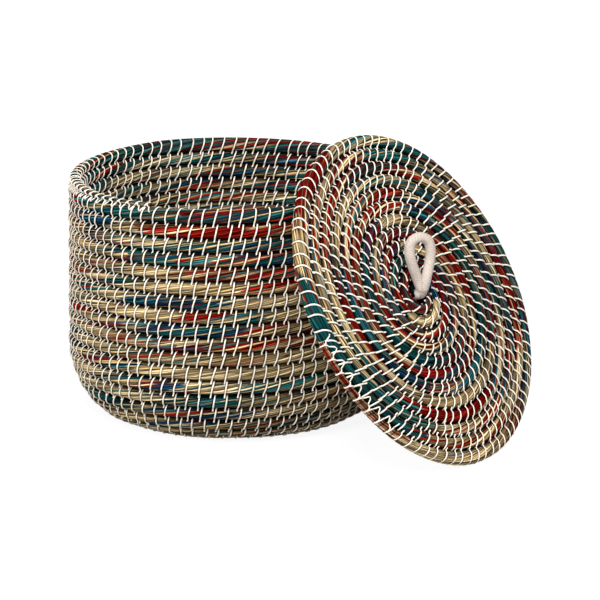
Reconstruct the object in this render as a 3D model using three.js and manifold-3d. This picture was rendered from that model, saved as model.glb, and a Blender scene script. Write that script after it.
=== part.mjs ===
// A round coiled grass basket with its flat coiled lid taken off and leaning on the rim.
// Units are millimetres and +Z is up. The basket's axis is the Z axis and it stands on z = 0.
// The lid leans towards +X.

import * as THREE from "three";
import { mergeVertices } from "three/addons/utils/BufferGeometryUtils.js";
import Module from "manifold-3d";

const wasm = await Module();
wasm.setup();

// Basket sizes
const basketRadius = 152.5;
const basketHeight = 228.2;
const rimDrawIn = 2.6;
const footInset = 48;
const footCurve = 38.4;
const footRise = 50;
const basketPitch = 12.65;
const basketThickness = 13.2;
const startButtonRadius = 6.6;
const rimEndAzimuth = THREE.MathUtils.degToRad(-83);
const rimStepBias = 0.3;
const rimTaperTurns = 0.34;

// Lid sizes
const lidRadius = 152;
const lidPitch = 12.4;
const lidThickness = 12.4;
const lidHoleRadius = 7.6;
const lidEndAzimuth = THREE.MathUtils.degToRad(-87);
const lidStepBias = 0.8;
const lidTaperTurns = 0.22;
const lidLean = THREE.MathUtils.degToRad(60.85);
const lidSideways = -5.9;

// Coil make-up: rows as six-sided tubes with their ends thinned
const rowGap = 0.8;
const startGrowth = 0.15;
const startFuse = 1;
const fusedTurns = 1.15;
const lidStartGrowth = 0.2;
const tipShare = 0.2;
const tipThickness = 0.45;
const innerTurns = 3;
const innerSteps = 10;
const outerSteps = 20;
const leastStepShare = 0.3;
const edgeSamples = 6;

// Rope handle sizes
const ropeDiameter = 8.6;
const loopHeight = 45.5;
const loopHalfWidth = 10.7;
const loopRootHalfWidth = 4.6;
const loopTurn = THREE.MathUtils.degToRad(60);
const loopUpSlope = 4;
const loopLean = new THREE.Vector2(-2.5, -1.9);
const loopSteps = 32;
const loopSides = 8;
const neckLobeRadius = 3.4;
const neckLobeSpacing = 6.6;
const knotRopeRadius = 4.1;
const knotRadius = 10;
const knotSpread = 4.6;
const knotSteps = 54;
const knotSides = 6;
const ropeEndAngles = [30, 60].map(THREE.MathUtils.degToRad);

// Clearances between pieces
const seatGap = 0.3;
const pivotGap = 0.4;

const clamp = THREE.MathUtils.clamp;
const ropeRadius = ropeDiameter / 2;

// Joins rings of points into one closed tube with a fan over each end
function sweepRings(rings, handed) {
  const sides = rings[0].length;
  const positions = rings.flat().flatMap((p) => [p.x, p.y, p.z]);
  const faces = [];
  const addFace = (a, b, c) => (handed > 0 ? faces.push(a, b, c) : faces.push(a, c, b));
  for (let i = 0; i + 1 < rings.length; i += 1) {
    for (let j = 0; j < sides; j += 1) {
      const a = i * sides + j;
      const b = i * sides + ((j + 1) % sides);
      addFace(a, b, a + sides);
      addFace(b, b + sides, a + sides);
    }
  }
  const last = (rings.length - 1) * sides;
  for (let j = 1; j + 1 < sides; j += 1) {
    addFace(0, j + 1, j);
    addFace(last, last + j, last + j + 1);
  }
  const geometry = new THREE.BufferGeometry();
  geometry.setAttribute("position", new THREE.Float32BufferAttribute(positions, 3));
  geometry.setIndex(faces);
  geometry.computeVertexNormals();
  return geometry;
}

// Turn counts at which a coil from one count to another has its rings
function ringTurns(from, to) {
  const turns = [from];
  const least = leastStepShare / outerSteps;
  for (let turn = 0; turn < to; ) {
    const steps = turn < innerTurns ? innerSteps : outerSteps;
    turn = Math.round((turn + 1 / steps) * outerSteps) / outerSteps;
    if (turn > from + least && turn < to - least) turns.push(turn);
  }
  turns.push(to);
  return turns;
}

// A coil laid row by row along a profile: how far its rows have grown at a turn count
function coilGrowth(coil, turn) {
  const biased = (coil.stepBias / (2 * Math.PI)) * Math.sin(2 * Math.PI * (turn - coil.turns));
  return turn + biased;
}

// Distance along the profile of a row's outer edge
function coilEdge(coil, growth) {
  return coil.firstEdge + coil.pitch * growth;
}

// One ring of a coil: a hexagon in the plane through the axis, thinned at both ends of the coil
// and pressed flat where it meets the floor
function coilRing(coil, turn) {
  const growth = coilGrowth(coil, turn);
  const inner = coilEdge(coil, Math.max(growth - 1, 0)) - coil.fuse * Math.max(fusedTurns - growth, 0);
  const full = coilEdge(coil, growth) - rowGap - inner;
  const share = clamp((coil.turns - turn) / coil.taper, tipShare, 1);
  const halfRow = (full * share) / 2;
  const halfThick = (coil.thickness / 2) * THREE.MathUtils.lerp(tipThickness, 1, share);
  const place = coil.profile.getPoint((inner + halfRow) / coil.length);
  const along = coil.profile.getTangent((inner + halfRow) / coil.length);
  const out = new THREE.Vector2(along.y, -along.x);
  const azimuth = coil.endAzimuth + coil.handed * 2 * Math.PI * (turn - coil.turns);
  const hexagon = [[1, 0], [0.5, 1], [-0.5, 1], [-1, 0], [-0.5, -1], [0.5, -1]];
  return hexagon.map(([u, v]) => {
    const radius = place.x + along.x * u * halfRow + out.x * v * halfThick;
    const z = Math.max(place.y + along.y * u * halfRow + out.y * v * halfThick, coil.floor);
    return new THREE.Vector3(radius * Math.cos(azimuth), radius * Math.sin(azimuth), z);
  });
}

// Least distance between ring points that lie about a full turn apart
function leastRowGap(coil, turns, rings) {
  let least = Infinity;
  for (let i = 0; i < turns.length; i += 1) {
    for (let k = i + 1; k < turns.length; k += 1) {
      const apart = turns[k] - turns[i];
      if (apart < 0.8 || apart > 1.2 || coilGrowth(coil, turns[k]) < 1) continue;
      for (const p of rings[i]) {
        for (const q of rings[k]) least = Math.min(least, p.distanceTo(q));
      }
    }
  }
  return least;
}

function coilGeometry(name, coil, from, to) {
  const turns = ringTurns(from, to);
  const rings = turns.map((turn) => coilRing(coil, turn));
  const gap = leastRowGap(coil, turns, rings);
  console.log(`${name}: ${(to - from).toFixed(2)} turns, least row gap ${gap.toFixed(2)} mm`);
  return sweepRings(rings, coil.handed);
}

// Rope along a curve with round ends
function ropeGeometry(curve, radius, steps, sides) {
  const frames = curve.computeFrenetFrames(steps, false);
  const ring = (index, offset, size) => {
    const centre = curve.getPointAt(index / steps).addScaledVector(frames.tangents[index], offset);
    return Array.from({ length: sides }, (_, j) => {
      const angle = (2 * Math.PI * j) / sides;
      return centre.clone()
        .addScaledVector(frames.normals[index], size * Math.cos(angle))
        .addScaledVector(frames.binormals[index], size * Math.sin(angle));
    });
  };
  const rings = [];
  const addEnd = (index, side, angle) =>
    rings.push(ring(index, side * radius * Math.sin(angle), radius * Math.cos(angle)));
  for (const angle of ropeEndAngles.toReversed()) addEnd(0, -1, angle);
  for (let i = 0; i <= steps; i += 1) rings.push(ring(i, 0, radius));
  for (const angle of ropeEndAngles) addEnd(steps, 1, angle);
  return sweepRings(rings, 1);
}

// Solids for cutting and joining
function toSolid(source) {
  const bare = source.clone();
  for (const name of Object.keys(bare.attributes)) {
    if (name !== "position") bare.deleteAttribute(name);
  }
  const merged = mergeVertices(bare);
  return new wasm.Manifold(new wasm.Mesh({
    numProp: 3,
    vertProperties: new Float32Array(merged.attributes.position.array),
    triVerts: new Uint32Array(merged.index.array),
  }));
}

function toGeometry(solid) {
  const mesh = solid.getMesh();
  const geometry = new THREE.BufferGeometry();
  geometry.setAttribute("position", new THREE.BufferAttribute(mesh.vertProperties.slice(), 3));
  geometry.setIndex(new THREE.BufferAttribute(mesh.triVerts.slice(), 1));
  geometry.computeVertexNormals();
  return geometry;
}

function namedMesh(name, geometry, color, roughness) {
  const material = new THREE.MeshStandardMaterial({ color, roughness, metalness: 0 });
  const mesh = new THREE.Mesh(geometry, material);
  mesh.name = name;
  return mesh;
}

// Basket profile along the middle of the coil: flat base, rounded foot, wall
function basketProfile() {
  const floor = basketThickness / 2;
  const wall = basketRadius - basketThickness / 2;
  const path = new THREE.Path();
  path.moveTo(0, floor);
  path.lineTo(wall - footInset, floor);
  path.quadraticCurveTo(wall - footInset + footCurve, floor, wall, floor + footRise);
  path.lineTo(wall - rimDrawIn, basketHeight);
  return path;
}

function basketCoil() {
  const profile = basketProfile();
  const length = profile.getLength();
  const rows = length - startButtonRadius + rowGap;
  const turns = Math.round((rows / basketPitch) * outerSteps) / outerSteps;
  return {
    profile,
    length,
    turns,
    pitch: rows / turns,
    firstEdge: startButtonRadius,
    fuse: startFuse,
    thickness: basketThickness,
    endAzimuth: rimEndAzimuth,
    stepBias: rimStepBias,
    taper: rimTaperTurns,
    handed: 1,
    floor: 0,
  };
}

// Lid profile: flat, from the rope's hole outwards
function lidCoil() {
  const rows = lidRadius - lidHoleRadius + rowGap;
  const turns = Math.round((rows / lidPitch) * outerSteps) / outerSteps + 0.5;
  const profile = new THREE.Path();
  profile.moveTo(0, 0);
  profile.lineTo(lidRadius + lidPitch, 0);
  return {
    profile,
    length: profile.getLength(),
    turns,
    pitch: rows / (turns - 0.5),
    firstEdge: lidHoleRadius,
    fuse: 0,
    thickness: lidThickness,
    endAzimuth: lidEndAzimuth,
    stepBias: lidStepBias,
    taper: lidTaperTurns,
    handed: -1,
    floor: -lidThickness / 2,
  };
}

// Turn count at which the wall leaves the flat base
function footTurn(coil) {
  const flat = basketRadius - basketThickness / 2 - footInset;
  return Math.round(((flat - startButtonRadius) / coil.pitch) * outerSteps) / outerSteps;
}

function makeBasket() {
  const coil = basketCoil();
  const foot = footTurn(coil);
  const flat = basketRadius - basketThickness / 2 - footInset;
  const halfJoint = seatGap / 2 / (2 * Math.PI * flat);
  const basket = new THREE.Group();

  const spiral = coilGeometry("base_coil", coil, startGrowth, foot - halfJoint);
  const buttonRadius = startButtonRadius;
  const button = new THREE.CylinderGeometry(buttonRadius, buttonRadius, basketThickness, outerSteps);
  button.rotateX(Math.PI / 2);
  button.translate(0, 0, basketThickness / 2);
  const base = toGeometry(toSolid(spiral).add(toSolid(button)));
  basket.add(namedMesh("base_coil", base, 0xb89c6c, 0.8));

  const wall = coilGeometry("wall_coil", coil, foot + halfJoint, coil.turns);
  basket.add(namedMesh("wall_coil", wall, 0x6f7a66, 0.75));
  return basket;
}

// The two rope legs squeezed together where they pass through the lid
function neckGeometry(depth) {
  const half = neckLobeSpacing / 2;
  const waist = Math.acos(clamp(half / neckLobeRadius, 0, 0.98));
  const outline = new THREE.Shape();
  outline.absarc(0, half, neckLobeRadius, waist - Math.PI / 2, (3 * Math.PI) / 2 - waist, false);
  outline.absarc(0, -half, neckLobeRadius, Math.PI / 2 + waist, (5 * Math.PI) / 2 - waist, false);
  return new THREE.ExtrudeGeometry(outline, { depth, bevelEnabled: false, curveSegments: 8 });
}

// A stopper knot: the rope crosses itself three times round the neck's axis
function knotGeometry() {
  const rings = [];
  const centre = (t) => {
    const radius = knotRadius + knotSpread * Math.cos(3 * t);
    const rise = knotSpread * Math.sin(3 * t);
    return new THREE.Vector3(radius * Math.cos(2 * t), radius * Math.sin(2 * t), rise);
  };
  for (let i = 0; i < knotSteps; i += 1) {
    const t = (2 * Math.PI * i) / knotSteps;
    const tangent = centre(t + 0.01).sub(centre(t - 0.01)).normalize();
    const core = new THREE.Vector3(knotRadius * Math.cos(2 * t), knotRadius * Math.sin(2 * t), 0);
    const normal = centre(t).sub(core);
    normal.addScaledVector(tangent, -normal.dot(tangent)).normalize();
    const side = tangent.clone().cross(normal);
    rings.push(Array.from({ length: knotSides }, (_, j) => {
      const angle = (2 * Math.PI * j) / knotSides;
      return centre(t)
        .addScaledVector(normal, knotRopeRadius * Math.cos(angle))
        .addScaledVector(side, knotRopeRadius * Math.sin(angle));
    }));
  }
  rings.push(rings[0].map((p) => p.clone()));
  return closeLoop(sweepRings(rings, 1), knotSides);
}

// Drops a sweep's end fans and merges its last ring into its first
function closeLoop(geometry, sides) {
  const fans = 2 * (sides - 2) * 3;
  const index = Array.from(geometry.index.array);
  const open = new THREE.BufferGeometry();
  open.setAttribute("position", geometry.attributes.position.clone());
  open.setIndex(index.slice(0, index.length - fans));
  const closed = mergeVertices(open);
  closed.computeVertexNormals();
  return closed;
}

// Middle of the rope loop, with its foot at the origin and both legs side by side along Y there
function loopCurve() {
  const shape = [
    [loopRootHalfWidth, 0, 0],
    [loopRootHalfWidth + 0.25 * (loopHalfWidth - loopRootHalfWidth), 0.15, 0.35],
    [loopRootHalfWidth + 0.75 * (loopHalfWidth - loopRootHalfWidth), 0.42, 0.8],
    [loopHalfWidth, 0.68, 1],
    [0.72 * loopHalfWidth, 0.92, 1],
  ];
  const place = (side) => ([half, rise, turned]) => {
    const turn = THREE.MathUtils.lerp(Math.PI / 2, loopTurn, turned);
    return new THREE.Vector3(
      side * half * Math.cos(turn) + loopLean.x * rise,
      side * half * Math.sin(turn) + loopLean.y * rise,
      loopHeight * rise,
    );
  };
  const top = new THREE.Vector3(loopLean.x, loopLean.y, loopHeight);
  const points = [...shape.map(place(1)), top, ...shape.map(place(-1)).reverse()];
  return new THREE.CatmullRomCurve3(points);
}

function makeLid() {
  const coil = lidCoil();
  const lid = new THREE.Group();
  const top = lidThickness / 2;

  const spiral = coilGeometry("lid_coil", coil, lidStartGrowth, coil.turns);
  lid.add(namedMesh("lid_coil", spiral, 0x5f6f62, 0.75));

  const knot = namedMesh("handle_knot", knotGeometry(), 0xd9cebf, 0.9);
  knot.geometry.computeBoundingBox();
  const knotTop = knot.geometry.boundingBox.max.z;
  knot.position.z = -top - seatGap - knotTop;
  lid.add(knot);

  const neck = namedMesh("handle_neck", neckGeometry(lidThickness + seatGap), 0xd9cebf, 0.9);
  neck.position.z = -top - seatGap;
  lid.add(neck);

  const handle = new THREE.Group();
  handle.position.set(-loopUpSlope, 0, top + ropeRadius + pivotGap);
  handle.rotation.y = -lidLean;
  const loop = ropeGeometry(loopCurve(), ropeRadius, loopSteps, loopSides);
  handle.add(namedMesh("handle_loop", loop, 0xd9cebf, 0.9));
  lid.add(handle);
  return lid;
}

// How far a mesh reaches along a direction
function reachAlong(object, direction) {
  let reach = -Infinity;
  const point = new THREE.Vector3();
  object.updateWorldMatrix(true, true);
  object.traverse((child) => {
    if (!child.isMesh) return;
    const places = child.geometry.attributes.position;
    for (let i = 0; i < places.count; i += 1) {
      point.fromBufferAttribute(places, i).applyMatrix4(child.matrixWorld);
      reach = Math.max(reach, point.dot(direction));
    }
  });
  return reach;
}

// Points along the edges of a mesh's triangles that stand higher than a level
function edgePoints(mesh, level) {
  const places = mesh.geometry.attributes.position;
  const corners = mesh.geometry.index.array;
  const points = [];
  for (let i = 0; i < corners.length; i += 1) {
    const next = i % 3 === 2 ? i - 2 : i + 1;
    const from = new THREE.Vector3().fromBufferAttribute(places, corners[i]).applyMatrix4(mesh.matrixWorld);
    const to = new THREE.Vector3().fromBufferAttribute(places, corners[next]).applyMatrix4(mesh.matrixWorld);
    if (Math.max(from.z, to.z) < level) continue;
    for (let k = 0; k < edgeSamples; k += 1) points.push(from.clone().lerp(to, k / edgeSamples));
  }
  return points;
}

// How far the lid can still slide towards the basket before it meets the rim
function playTowardsRim(lidMesh, wallMesh) {
  const rays = [
    [wallMesh, lidMesh, new THREE.Vector3(1, 0, 0)],
    [lidMesh, wallMesh, new THREE.Vector3(-1, 0, 0)],
  ];
  const rimLevel = basketHeight - 3 * basketPitch;
  const caster = new THREE.Raycaster();
  let play = Infinity;
  for (const [from, onto, direction] of rays) {
    onto.material.side = THREE.DoubleSide;
    for (const point of edgePoints(from, rimLevel)) {
      if (point.x < 0) continue;
      caster.set(point, direction);
      const hit = caster.intersectObject(onto)[0];
      if (hit) play = Math.min(play, hit.distance);
    }
    onto.material.side = THREE.FrontSide;
  }
  return play;
}

// Leans the lid on the rim with its lower edge on the floor
function leanLid(lid, basket) {
  lid.rotation.y = lidLean;
  const normal = new THREE.Vector3(Math.sin(lidLean), 0, Math.cos(lidLean));
  const lidMesh = lid.getObjectByName("lid_coil");
  const drop = reachAlong(lidMesh, new THREE.Vector3(0, 0, -1));
  const clear = reachAlong(basket, normal) + seatGap + lidThickness / 2;
  lid.position.set((clear - drop * normal.z) / normal.x, lidSideways, drop);
  lid.updateWorldMatrix(true, true);
  lid.position.x -= playTowardsRim(lidMesh, basket.getObjectByName("wall_coil")) - seatGap / normal.x;
}

const root = new THREE.Group();
const basket = makeBasket();
const lid = makeLid();
leanLid(lid, basket);
root.add(basket, lid);

export default root;
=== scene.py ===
# A round coiled grass basket with its coiled lid leaning on the rim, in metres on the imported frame.

import math
from dataclasses import dataclass

import bpy
import numpy as np
from mathutils import Matrix, Vector


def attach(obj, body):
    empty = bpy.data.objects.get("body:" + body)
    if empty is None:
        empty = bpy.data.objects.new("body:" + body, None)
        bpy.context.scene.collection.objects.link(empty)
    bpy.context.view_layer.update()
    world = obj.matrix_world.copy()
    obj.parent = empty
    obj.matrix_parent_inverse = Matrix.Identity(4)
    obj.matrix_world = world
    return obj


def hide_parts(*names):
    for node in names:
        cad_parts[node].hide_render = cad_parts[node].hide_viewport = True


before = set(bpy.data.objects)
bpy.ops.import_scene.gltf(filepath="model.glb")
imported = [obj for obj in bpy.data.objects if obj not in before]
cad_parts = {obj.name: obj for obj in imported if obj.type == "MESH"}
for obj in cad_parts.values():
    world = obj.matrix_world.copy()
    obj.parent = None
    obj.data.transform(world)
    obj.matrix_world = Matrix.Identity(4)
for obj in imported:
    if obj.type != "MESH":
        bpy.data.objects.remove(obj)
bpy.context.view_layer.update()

MM = 0.001
TAU = 2 * math.pi

# Basket sizes in millimetres, as in the solids
BASKET_RADIUS = 152.5
BASKET_HEIGHT = 228.2
RIM_DRAW_IN = 2.6
FOOT_INSET = 48
FOOT_CURVE = 38.4
FOOT_RISE = 50
BASKET_PITCH = 12.65
BASKET_THICKNESS = 13.2
START_BUTTON_RADIUS = 6.6
RIM_END_AZIMUTH = math.radians(-83)
RIM_STEP_BIAS = 0.3
RIM_TAPER_TURNS = 0.34

# Lid sizes in millimetres, as in the solids
LID_RADIUS = 152
LID_PITCH = 12.4
LID_THICKNESS = 12.4
LID_HOLE_RADIUS = 7.6
LID_SPARE_TURNS = 0.5
LID_END_AZIMUTH = math.radians(-87)
LID_STEP_BIAS = 0.8
LID_TAPER_TURNS = 0.22
LID_LEAN = math.radians(60.85)
LID_CENTRE = np.array([201.2610, -5.9, 134.3832])

# Coil rows, as in the solids
ROW_GAP = 0.8
START_GROWTH = 0.15
LID_START_GROWTH = 0.2
FUSED_TURNS = 1.15
TIP_SHARE = 0.2
TIP_THICKNESS = 0.45
ROUND_STEPS = 20

# Bundles of grass: blades round one, twist, squareness, and small swells and pinches in millimetres
STRANDS = 37
WALL_TWIST = 260
LID_TWIST = -320
WALL_SQUARE = 0.8
LID_SQUARE = 0.7
WOBBLE = 0.5
WOBBLE_LENGTH = 70
SWELL = 0.07
SWELL_LENGTH = 45
LUMP = 0.5
LUMP_LENGTH = 22
LUMPS_ROUND = 1.6
STITCH_PINCH = 0.6
PINCH_LENGTH = 2.1
PINCH_REST = 0.35
BUTTON_SPREAD = 2.2
BUTTON_REACH = 0.99
BUTTON_ROUNDING = 0.4
SPLIT_SHIFT = 0.537
FLOOR_GAP = 0.05

# Seeds of what is irregular, and rows of the smooth noise
BASKET_SEED = 100
LID_SEED = 300
LUMP_SEED_STEP = 3
STITCH_PLACE_SEED = 11
BASE_SEWING_SEED = 31
LOW_SEWING_SEED = 32
HIGH_SEWING_SEED = 33
LID_SEWING_SEED = 34
SWELL_NOISE_ROW = 7.5
LUMP_NOISE_ROW = 9
DRIFT_NOISE_ROW = 0.5

# Fineness: points round a bundle, rings from stitch to stitch, strips of the bake map, steps along lines
BASE_MESH = {"sides": 24, "parts": 3, "strips": 5}
ROW_MESH = {"sides": 32, "parts": 4, "strips": 9}
BUTTON_SIDES = 32
BUTTON_RINGS = 41
LOOP_SIDES = 48
LOOP_RINGS = 260
LEG_SIDES = 40
LEG_RINGS = 70
KNOT_SIDES = 36
KNOT_RINGS = 301
PROFILE_STEPS = 400
PATH_STEPS = 1200
SPACING_STEPS = 6000
LENGTH_STEPS = 12000
BAKE_MARGIN = 0.04
THREAD_BAKE_MARGIN = 0.05

# Stitches: spacing, slant and thread in millimetres, and where the first ones sit in turns
BASE_STITCH = 12
WALL_STITCH = 11.1
WALL_STITCHES_PER_TURN = 82.06
LID_STITCH = 10.9
BASE_FIRST_TURN = 0.55
LID_FIRST_TURN = 0.7
FOOT_ROWS = 6.3
BASE_SLANTS = (0.2, 0.2)
WALL_SLANTS = (math.tan(math.radians(13)), math.tan(math.radians(19)))
LID_SLANTS = (-math.tan(math.radians(21.5)), -math.tan(math.radians(21.5)))
WALL_JITTER = 1.0
WALL_JITTER_RADIUS = 146
LID_JITTER = 0.8
LID_JITTER_RADIUS = 110
SLANT_VARY = 0.08
SHIFT_VARY = 0.3
BITE = 2.2
WALL_THREAD_HALF_WIDTH = 0.72
LID_THREAD_HALF_WIDTH = 0.77
THREAD_HALF_HEIGHT = 0.5
THREAD_LIFT = 0.4
THREAD_END_DEPTH = 1.1
THREAD_TOP_GAP = 0.15
THREAD_SINK = 0.1
THREAD_STEPS = 21
THREAD_SIDES = 5
THREAD_ROLL = 0.3
THREAD_GRAIN_STEP = 1.7

# Zigzag lashings over the thin ends of the coils
RIM_LASH_SPACING = 5.0
LID_LASH_SPACING = 6.8
RIM_LASH_BITE = 3.5
LID_LASH_BITE = 4.6
RIM_LASH_TURNS = 0.15
LID_LASH_TURNS = 0.115
LASH_HALF_WIDTH = 0.62
LASH_LIFT = 0.9

# Rope handle in millimetres, as in the solids
ROPE_RADIUS = 4.3
LOOP_HEIGHT = 45.5
LOOP_TURN = math.radians(60)
LOOP_UP_SLOPE = 4
LOOP_LEAN = (-2.5, -1.9)
PIVOT_GAP = 0.4
NECK_RADIUS = 3.4
NECK_SPACING = 6.6
KNOT_ROPE_RADIUS = 4.1
KNOT_RADIUS = 10
KNOT_SPREAD = 4.6
SEAT_GAP = 0.3

# Surface and eye of the rope
LOOP_EYE_HALF_WIDTH = 10.2
ROPE_FUZZ = 0.25
ROPE_END_REACH = 4.0
ROPE_RIB = 0.008
ROPE_RIBS_ROUND = 5
ROPE_RIBS_ALONG = 1.3

# Dyes as shares of teal, red and blue grass, the rest being plain straw
STRAW = (0.04, 0.05, 0.03)
TEAL = (0.78, 0.08, 0.05)
TEAL_RED = (0.60, 0.27, 0.04)
TEAL_STRAW = (0.48, 0.05, 0.07)
RED = (0.05, 0.80, 0.03)
RED_TEAL = (0.28, 0.58, 0.04)
RED_STRAW = (0.05, 0.40, 0.06)
BLUE = (0.16, 0.14, 0.48)
BLUE_STRAW = (0.06, 0.06, 0.26)
MIXED = (0.20, 0.30, 0.18)
DYE_FADE = 0.035
DRIFT_GAIN = 3.0

# Teal, red and blue up the wall: share low down, what is added by height, slow drift, share in the last round
WALL_DYES = [
    {"low": 0.20, "added": 0.16, "rise": (0.4, 0.95), "swing": 0.20, "period": 210, "seed": 41, "rim": 0.50},
    {"low": 0.12, "added": 0.14, "rise": (0.5, 0.9), "swing": 0.12, "period": 170, "seed": 42, "rim": 0.26},
    {"low": 0.06, "added": 0.0, "rise": (0.5, 0.9), "swing": 0.05, "period": 150, "seed": 43, "rim": 0.06},
]
PLAIN_FOOT = (0.02, 0.10)
RIM_DYE_TURNS = (1.25, 1.0)

# Teal, red and blue on the lid: share and slow drift
LID_DYES = [
    {"share": 0.28, "swing": 0.18, "period": 160, "seed": 51},
    {"share": 0.43, "swing": 0.20, "period": 140, "seed": 52},
    {"share": 0.12, "swing": 0.10, "period": 130, "seed": 53},
]

# Lengths of the wall's bundle dyed alike: round from the rim, first and last azimuth, dye
WALL_LENGTHS = [
    (1, -115, -62, TEAL), (1, -62, -28, TEAL_RED),
    (2, -118, -95, BLUE), (2, -95, -84, STRAW), (2, -84, -42, RED), (2, -42, -10, RED_STRAW),
    (3, -110, -90, BLUE), (3, -90, -28, TEAL_STRAW),
    (4, -116, -98, RED_STRAW), (4, -98, -68, TEAL), (4, -68, -54, TEAL_STRAW), (4, -54, -18, BLUE),
    (5, -108, -70, STRAW), (5, -70, -20, RED_STRAW),
    (6, -130, -92, RED_STRAW), (6, -92, -44, STRAW), (6, -44, -10, RED_STRAW),
    (7, -114, -90, TEAL_STRAW), (7, -90, -60, BLUE), (7, -60, -5, STRAW),
    (8, -116, -68, STRAW), (8, -68, -54, RED_STRAW), (8, -54, -40, TEAL_STRAW), (8, -40, -5, STRAW),
    (9, -132, -98, RED_STRAW), (9, -98, -76, BLUE_STRAW), (9, -76, -54, BLUE), (9, -54, -20, RED_STRAW),
    (10, -88, -68, MIXED), (10, -68, -30, RED_STRAW),
    (11, -116, -5, STRAW),
    (12, -116, -84, MIXED), (12, -84, -12, STRAW),
    (13, -110, -86, BLUE_STRAW), (13, -86, -66, BLUE), (13, -66, -54, STRAW), (13, -54, -8, TEAL_STRAW),
    (14, -118, -82, STRAW), (14, -82, -46, TEAL), (14, -46, -22, RED_STRAW),
    (15, -114, -92, TEAL_RED), (15, -92, -48, BLUE_STRAW), (15, -48, -5, STRAW),
    (16, -108, -74, STRAW), (16, -74, -12, MIXED),
]

# The same for the lid, whose azimuths run from its lowest edge
LID_LENGTHS = [
    (1, -87, -48, RED_STRAW), (1, -44, 16, STRAW), (1, 16, 46, RED_STRAW), (1, 46, 72, BLUE),
    (1, 72, 112, TEAL_STRAW), (1, 112, 126, BLUE_STRAW), (1, 126, 146, MIXED), (1, 146, 186, TEAL_STRAW),
    (1, 186, 200, RED_STRAW), (1, 200, 230, RED), (1, 230, 250, STRAW), (1, 250, 325, TEAL),
    (1, 325, 345, RED_STRAW),
    (2, -20, 20, RED_STRAW), (2, 20, 58, STRAW), (2, 58, 100, RED), (2, 100, 125, MIXED),
    (2, 125, 150, BLUE_STRAW), (2, 150, 182, TEAL_STRAW), (2, 182, 240, RED_STRAW), (2, 240, 273, STRAW),
    (2, 273, 330, TEAL_STRAW),
    (3, -28, 24, RED_STRAW), (3, 24, 60, BLUE), (3, 60, 122, TEAL_STRAW), (3, 122, 150, STRAW),
    (3, 150, 196, RED_TEAL), (3, 200, 236, RED), (3, 240, 330, TEAL_STRAW),
    (4, -40, 30, RED), (4, 30, 128, TEAL_STRAW), (4, 130, 150, TEAL), (4, 150, 196, TEAL_STRAW),
    (4, 196, 240, STRAW), (4, 262, 318, RED),
    (5, 262, 330, BLUE), (6, 250, 320, RED_STRAW), (7, 240, 330, TEAL),
    (5, -60, 40, STRAW), (5, 150, 195, RED_STRAW), (6, 0, 120, TEAL_RED), (6, 130, 160, BLUE),
    (6, 160, 205, RED), (7, 140, 190, STRAW), (8, 60, 130, RED_STRAW),
    (9, 130, 170, RED_STRAW), (10, 150, 250, TEAL), (11, -60, 60, STRAW),
]

# Tones of each grass, from its darkest blades to its palest
STRAW_TONES = [
    (0.0, (0.080, 0.046, 0.018)),
    (0.14, (0.50, 0.328, 0.138)),
    (0.50, (0.84, 0.600, 0.290)),
    (1.0, (0.97, 0.780, 0.460)),
]
TEAL_TONES = [
    (0.0, (0.005, 0.036, 0.040)),
    (0.5, (0.012, 0.105, 0.108)),
    (0.9, (0.026, 0.185, 0.185)),
    (1.0, (0.070, 0.300, 0.290)),
]
RED_TONES = [
    (0.0, (0.110, 0.006, 0.005)),
    (0.5, (0.340, 0.010, 0.007)),
    (0.9, (0.450, 0.018, 0.010)),
    (1.0, (0.520, 0.055, 0.025)),
]
BLUE_TONES = [
    (0.0, (0.004, 0.014, 0.030)),
    (0.5, (0.008, 0.042, 0.095)),
    (0.9, (0.018, 0.110, 0.200)),
    (1.0, (0.045, 0.220, 0.350)),
]
DYE_TONES = (TEAL_TONES, RED_TONES, BLUE_TONES)
THREAD_TONES = [
    (0.3, (0.60, 0.53, 0.43)),
    (0.5, (0.76, 0.695, 0.60)),
    (0.7, (0.84, 0.785, 0.695)),
]
ROPE_TONES = [
    (0.25, (0.29, 0.240, 0.205)),
    (0.55, (0.44, 0.375, 0.33)),
    (0.85, (0.56, 0.49, 0.44)),
]

# Grass blades: length in metres, then scales along and across them, relief, tones, and painted shade between
# blades, in the grooves between rows and beside the stitches
BLADE_LENGTH = 0.125
BLADE_RANDOMNESS = 0.9
BLADE_SWAY = 2.0
BLADE_ROUNDING = 0.32
BLADE_RELIEF = 0.6
BLADE_BUMP = 0.9
BLADE_DEPTH = 0.0008
BLADE_ROUGHNESS = (0.38, 0.68)
# Painted shade: dark lines between the blades
BLADE_GAP = 0.24
BLADE_GAP_SHADE = 0.02
SWAY_SCALES = (12, 0.2)
STREAK_SCALES = (45, 2.6)
STREAK_LEVELS = (0.25, 0.75)
STREAK_SHADES = (0.50, 1.50)
STREAK_RELIEF = 0.35
TUFT_SCALES = (1.1, 0.26)
TUFT_LAYER = 5.0
DYE_PICKS = (37.0, 53.0, 71.0)
STRAY_SHARE = 0.3
TUFT_RAGGED = 0.16
POINT_EDGE = 0.22
POINT_TAPER = 0.3
# Painted shade: darkening of the grass colour in the grooves between rows and beside the stitches
GROOVE_SHADE = 0.95
GROOVE_EDGES = (0.46, 0.95)
FREE_EDGE_TURNS = (1.05, 0.97)
STITCH_SHADE = 0.35
STITCH_SHADE_REACH = (0.07, 0.19)

# Surfaces of the sewing strand and the rope
THREAD_ROUGHNESS = 0.6
THREAD_GRAIN = 3.0
THREAD_TWIST = 190.0
THREAD_BUMP = 0.3
THREAD_DEPTH = 0.0002
ROPE_ROUGHNESS = 0.9
ROPE_FINE_RIBS = 2600.0
ROPE_FINE_RIB_HEIGHT = 0.07
ROPE_FUZZ_SCALE = 1100.0
ROPE_FUZZ_HEIGHT = 1.1
ROPE_BUMP = 0.55
ROPE_DEPTH = 0.0006
FIBRE_SHEEN = 0.1

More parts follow.
